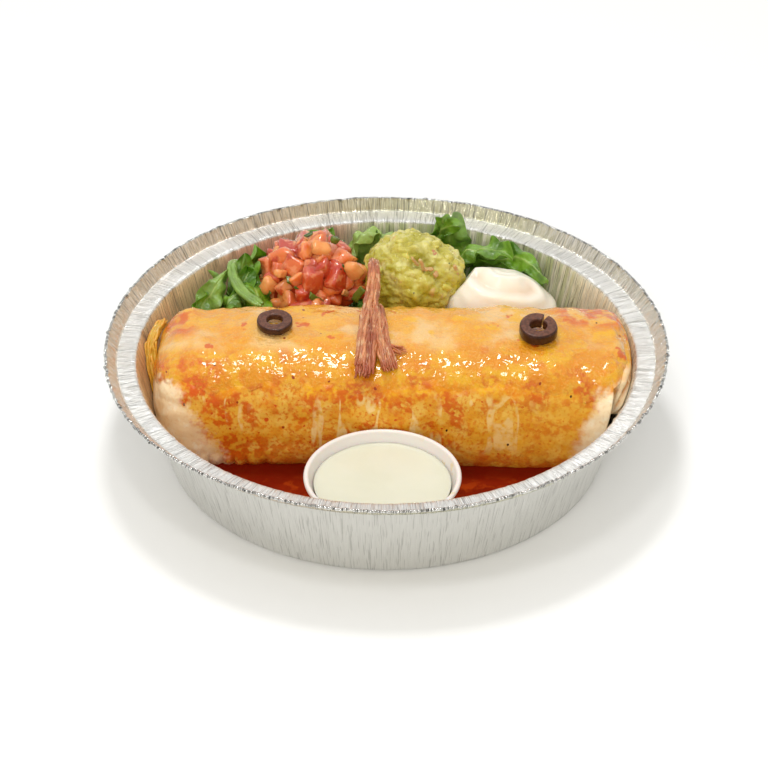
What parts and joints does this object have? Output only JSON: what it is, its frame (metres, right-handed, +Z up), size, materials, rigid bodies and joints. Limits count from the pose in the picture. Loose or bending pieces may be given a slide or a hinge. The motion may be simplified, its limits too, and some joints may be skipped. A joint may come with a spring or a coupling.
{
  "type": "wet burrito meal in a foil pan",
  "caption": "Round foil take-out pan with a sauced burrito under melted cheese, olives and shredded beef on top, salsa, guacamole, sour cream, lettuce, red sauce and a cup of white dip.",
  "frame": {"origin": "centre of the pan's underside, on the table", "axes": "+Z up, +X along the burrito to its folded end, +Y from the dip cup towards the scoops at the back"},
  "size_m": [0.2306, 0.2306, 0.0618],
  "materials": {
    "aluminium_foil": "bright wrinkled foil",
    "red_chilli_sauce": "wet, thick red sauce",
    "flour_tortilla": "soft steamed flour dough, stained by sauce",
    "melted_cheddar": "greasy melted cheese",
    "shredded_beef": "moist fibrous meat",
    "black_olive": "moist, smooth skin",
    "diced_tomato": "wet cut tomato with onion",
    "mashed_avocado": "lumpy, moist mash",
    "cultured_cream": "smooth cream",
    "lettuce_leaf": "crisp leaf",
    "white_plastic": "thin moulded plastic",
    "queso_blanco": "smooth cream dip"
  },
  "bodies": {
    "root": {"foil_pan": "aluminium_foil", "enchilada_sauce": "red_chilli_sauce", "burrito": "flour_tortilla", "melted_cheese": "melted_cheddar", "beef_shred_long": "shredded_beef", "beef_shred_short": "shredded_beef", "olive_ring_left": "black_olive", "olive_ring_right": "black_olive", "pico_de_gallo": "diced_tomato", "guacamole": "mashed_avocado", "sour_cream": "cultured_cream", "lettuce": "lettuce_leaf", "dip_cup": "white_plastic", "white_dip": "queso_blanco"}
  },
  "joints": []
}
